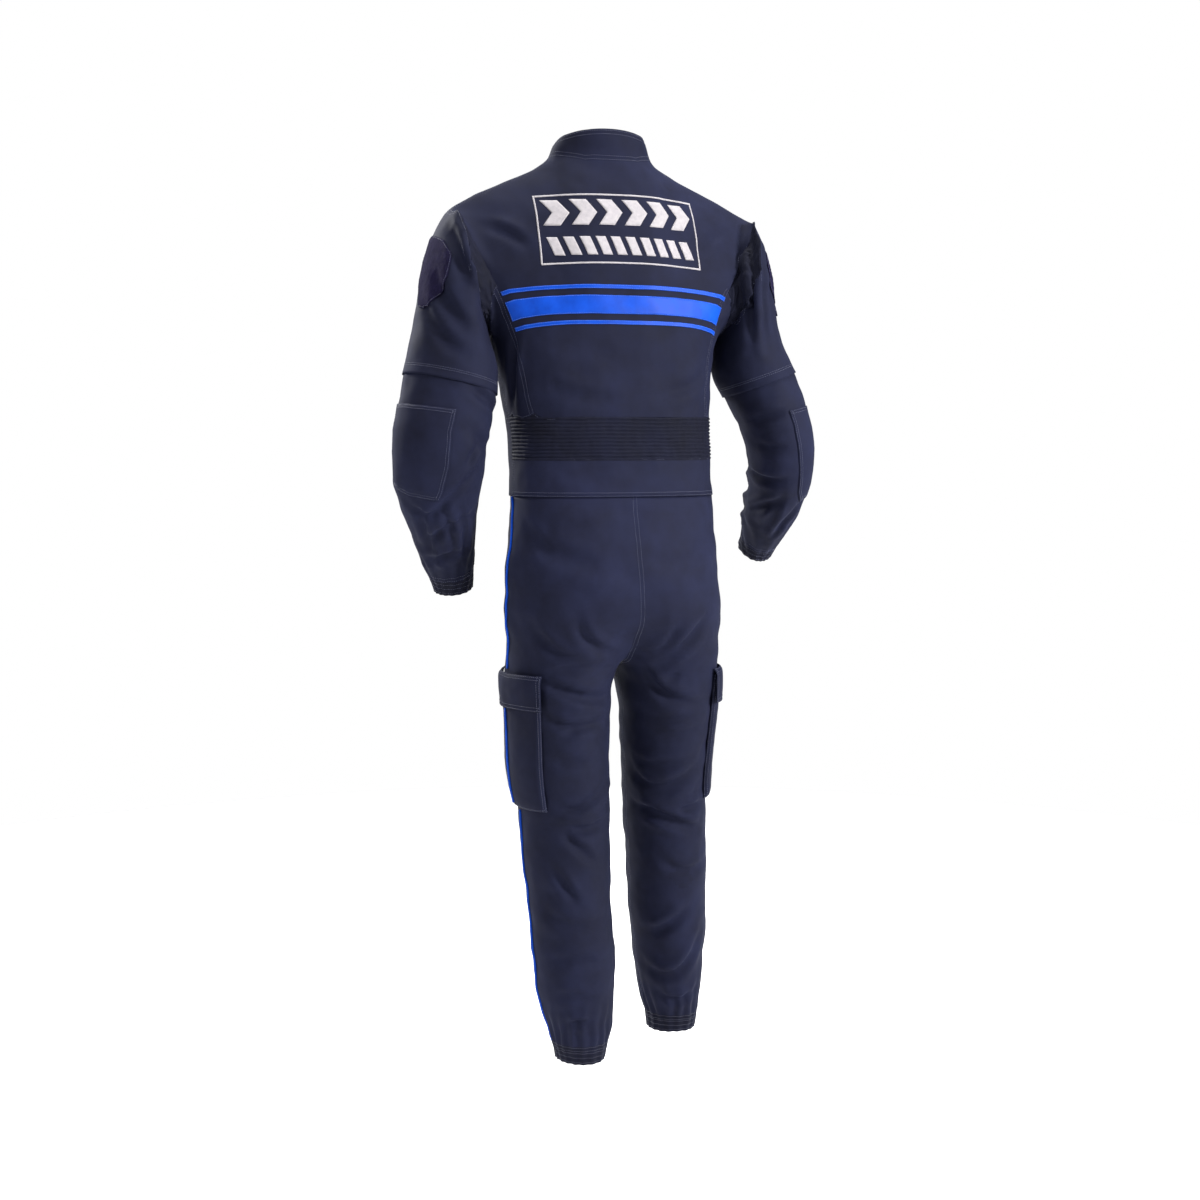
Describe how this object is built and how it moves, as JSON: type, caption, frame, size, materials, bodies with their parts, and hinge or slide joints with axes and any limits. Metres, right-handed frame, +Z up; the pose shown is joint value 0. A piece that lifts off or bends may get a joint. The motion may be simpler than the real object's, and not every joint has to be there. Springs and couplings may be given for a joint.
{
  "type": "police uniform",
  "caption": "One-piece duty coverall worn by a figure left out: stand collar, elastic waist, long sleeves with elbow patches, cargo pockets, side piping and gathered cuffs.",
  "frame": {"origin": "midway between the wearer's shoulders, level with the shoulders, where the wearer holds the garment up", "axes": "+Z up; the garment's front faces -Y; the wearer's left is +X"},
  "size_m": [0.7227, 0.2976, 1.4706],
  "materials": {
    "navy_cloth": "matt polycotton twill",
    "navy_elastic": "shirred twill over elastic",
    "blue_trim": "satin woven tape",
    "loop_pile": "fuzzy loop pile",
    "zip_tape": "plain woven tape",
    "zip_teeth": "moulded plastic",
    "zip_metal": "dark lacquered zinc"
  },
  "bodies": {
    "garment": {"ankle_cuff_left": "navy_elastic", "ankle_cuff_right": "navy_elastic", "back_panel": "navy_cloth", "back_side_left": "navy_cloth", "back_side_right": "navy_cloth", "collar": "navy_cloth", "cuff_left": "navy_elastic", "cuff_right": "navy_elastic", "elbow_patch_left": "navy_cloth", "elbow_patch_right": "navy_cloth", "front_left": "navy_cloth", "front_right": "navy_cloth", "gusset_left": "navy_elastic", "gusset_right": "navy_elastic", "loop_patch_left": "loop_pile", "loop_patch_right": "loop_pile", "lower_sleeve_left": "navy_cloth", "lower_sleeve_right": "navy_cloth", "piping_hip_left": "blue_trim", "piping_hip_right": "blue_trim", "piping_leg_left": "blue_trim", "piping_leg_right": "blue_trim", "piping_pocket_left": "blue_trim", "piping_pocket_right": "blue_trim", "pocket_flap_left": "navy_cloth", "pocket_flap_right": "navy_cloth", "pocket_left": "navy_cloth", "pocket_right": "navy_cloth", "tape_low": "blue_trim", "tape_middle": "blue_trim", "tape_top": "blue_trim", "trouser_back_left": "navy_cloth", "trouser_back_right": "navy_cloth", "trouser_front_left": "navy_cloth", "trouser_front_right": "navy_cloth", "upper_sleeve_left": "navy_cloth", "upper_sleeve_right": "navy_cloth", "waist_elastic_back": "navy_elastic", "waist_front_left": "navy_cloth", "waist_front_right": "navy_cloth", "waistband_back": "navy_cloth", "zip_chain": "zip_teeth", "zip_slider": "zip_metal", "zip_tape": "zip_tape"},
    "zip_pull": {"zip_pull": "zip_metal"}
  },
  "joints": [
    {"name": "zip_pull_hinge", "type": "hinge", "parent": "garment", "child": "zip_pull", "pos_m": [0, -0.10562, -0.0225], "axis": [-1, 0, 0], "range_deg": [0, 150]}
  ]
}
